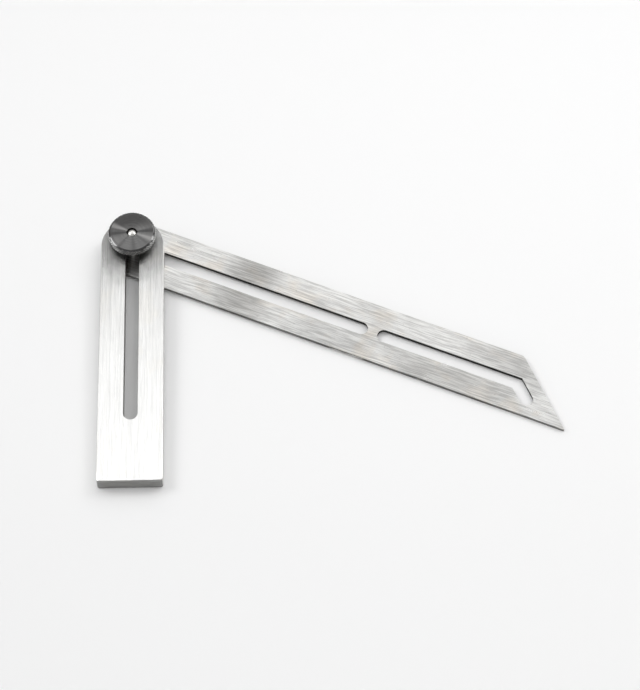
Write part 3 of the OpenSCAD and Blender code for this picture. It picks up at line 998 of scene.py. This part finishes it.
def floorMaterial():
    # far from the tool the floor turns into the backdrop
    material = bpy.data.materials.new("paleFloor")
    material.use_nodes = True
    tree = material.node_tree
    shader = tree.nodes["Principled BSDF"]
    where = newField(tree, "ShaderNodeTexCoord", output="Object")
    x, y = splitVector(where)[:2]
    tone = x * stage["toneX"] + y * stage["toneY"] + stage["floorTone"]
    feed(tree, shader, "Base Color", grey(remap(tone, *stage["toneRange"], *stage["toneRange"])))
    feed(tree, shader, "Roughness", stage["floorRough"])
    feed(tree, shader, "Specular IOR Level", stage["floorShine"])
    far = remap(lengthOf(where), *stage["fadeRange"], smooth=True) * seenDirectly(tree)
    paper = newField(tree, "ShaderNodeEmission", {"Color": (1, 1, 1), "Strength": stage["backdrop"]})
    mix = newField(tree, "ShaderNodeMixShader", {0: far, 1: shader.outputs[0], 2: paper})
    feed(tree, tree.nodes["Material Output"], "Surface", mix)
    return material


def makeFloor():
    # in front of the stock it levels out, so the blade's outline stays whole in every pose
    mesh = bpy.data.meshes.new("floor")
    reach, start, bend = stage["reach"], stage["bendStart"], stage["bendLength"]
    bends = [start - bend * k / stage["bendRows"] for k in range(stage["bendRows"] + 1)]
    rows = [reach] + bends + [-reach]
    places = []
    for y in rows:
        t = min(1.0, max(0.0, (start - y) / bend))
        rise = stage["slopeY"] * (max(y, start) - (t - t * t / 2) * bend) + stage["level"] * mm
        places += [(x, y, stage["slopeX"] * x + rise) for x in (-reach, reach)]
    mesh.from_pydata(places, [], [(2 * k, 2 * k + 2, 2 * k + 3, 2 * k + 1) for k in range(len(rows) - 1)])
    for polygon in mesh.polygons:
        polygon.use_smooth = True
    mesh.materials.append(floorMaterial())
    floor = addObject("floor", mesh)


def makeWorld():
    # pale backdrop low down all round, a quieter ceiling above it
    world = bpy.data.worlds.new("studio")
    bpy.context.scene.world = world
    world.use_nodes = True
    tree = world.node_tree
    tree.nodes.clear()
    height = splitVector(newField(tree, "ShaderNodeTexCoord", output="Generated"))[2]
    low = remap(seenDirectly(tree), 0.0, 1.0, stage["horizon"], stage["backdrop"])
    strength = remap(height, *stage["ceilingRange"], low, stage["ceiling"], smooth=True)
    room = newField(tree, "ShaderNodeBackground", {"Color": (1, 1, 1), "Strength": strength})
    addNode(tree, "ShaderNodeOutputWorld", {"Surface": room})


def softbox(name, place, target, wide, tall, power, mirrored):
    light = bpy.data.lights.new(name, "AREA")
    light.shape = "RECTANGLE"
    light.size, light.size_y, light.energy = wide, tall, power
    lamp = addObject(name, light)
    lamp.location = place
    lamp.rotation_euler = (Vector(target) - Vector(place)).to_track_quat("-Z", "Y").to_euler()
    lamp.visible_camera = False
    lamp.visible_glossy = mirrored


makeFloor()
makeWorld()
lamps = {  # place, target, width, height and power, and whether metal mirrors it
    "topSoftbox": ((0.06, 0.156, 0.4221), (0.06, 0.0, 0.0), 0.90, 0.164, 0.44, True),
    "backStrip": ((0.365, 0.838, 0.803), (0.06, 0.0, 0.0), 1.5, 0.27, 1.75, True),
    "leftSoftbox": ((-1.95, 0.58, 2.40), (0.04, -0.04, 0.0), 1.4, 1.4, 26.0, True),
    "rightSoftbox": ((1.95, 0.95, 2.42), (0.04, -0.04, 0.0), 1.0, 1.0, 11.5, True),
    "overheadFill": ((0.30, -0.26, 1.50), (0.14, -0.08, 0.0), 1.1, 1.1, 4.4, False),
}
for name, lamp in lamps.items():
    softbox(name, *lamp)

view = {
    "place": (45.751, -443.897, 689.881), "tilt": 30.0, "turn": -1.3127, "lens": 112.0764,
    "sensor": 36.0, "shiftX": 0.078126, "clip": (0.01, 50.0),
}
cameraData = bpy.data.cameras.new("camera")
cameraData.sensor_fit, cameraData.sensor_width = "HORIZONTAL", view["sensor"]
cameraData.lens, cameraData.shift_x = view["lens"], view["shiftX"]
cameraData.clip_start, cameraData.clip_end = view["clip"]
camera = addObject("camera", cameraData)
camera.location = [value * mm for value in view["place"]]
camera.rotation_euler = (math.radians(view["tilt"]), 0.0, math.radians(view["turn"]))
bpy.context.scene.camera = camera
bpy.context.scene.view_settings.view_transform = "Standard"

print("stage ready")
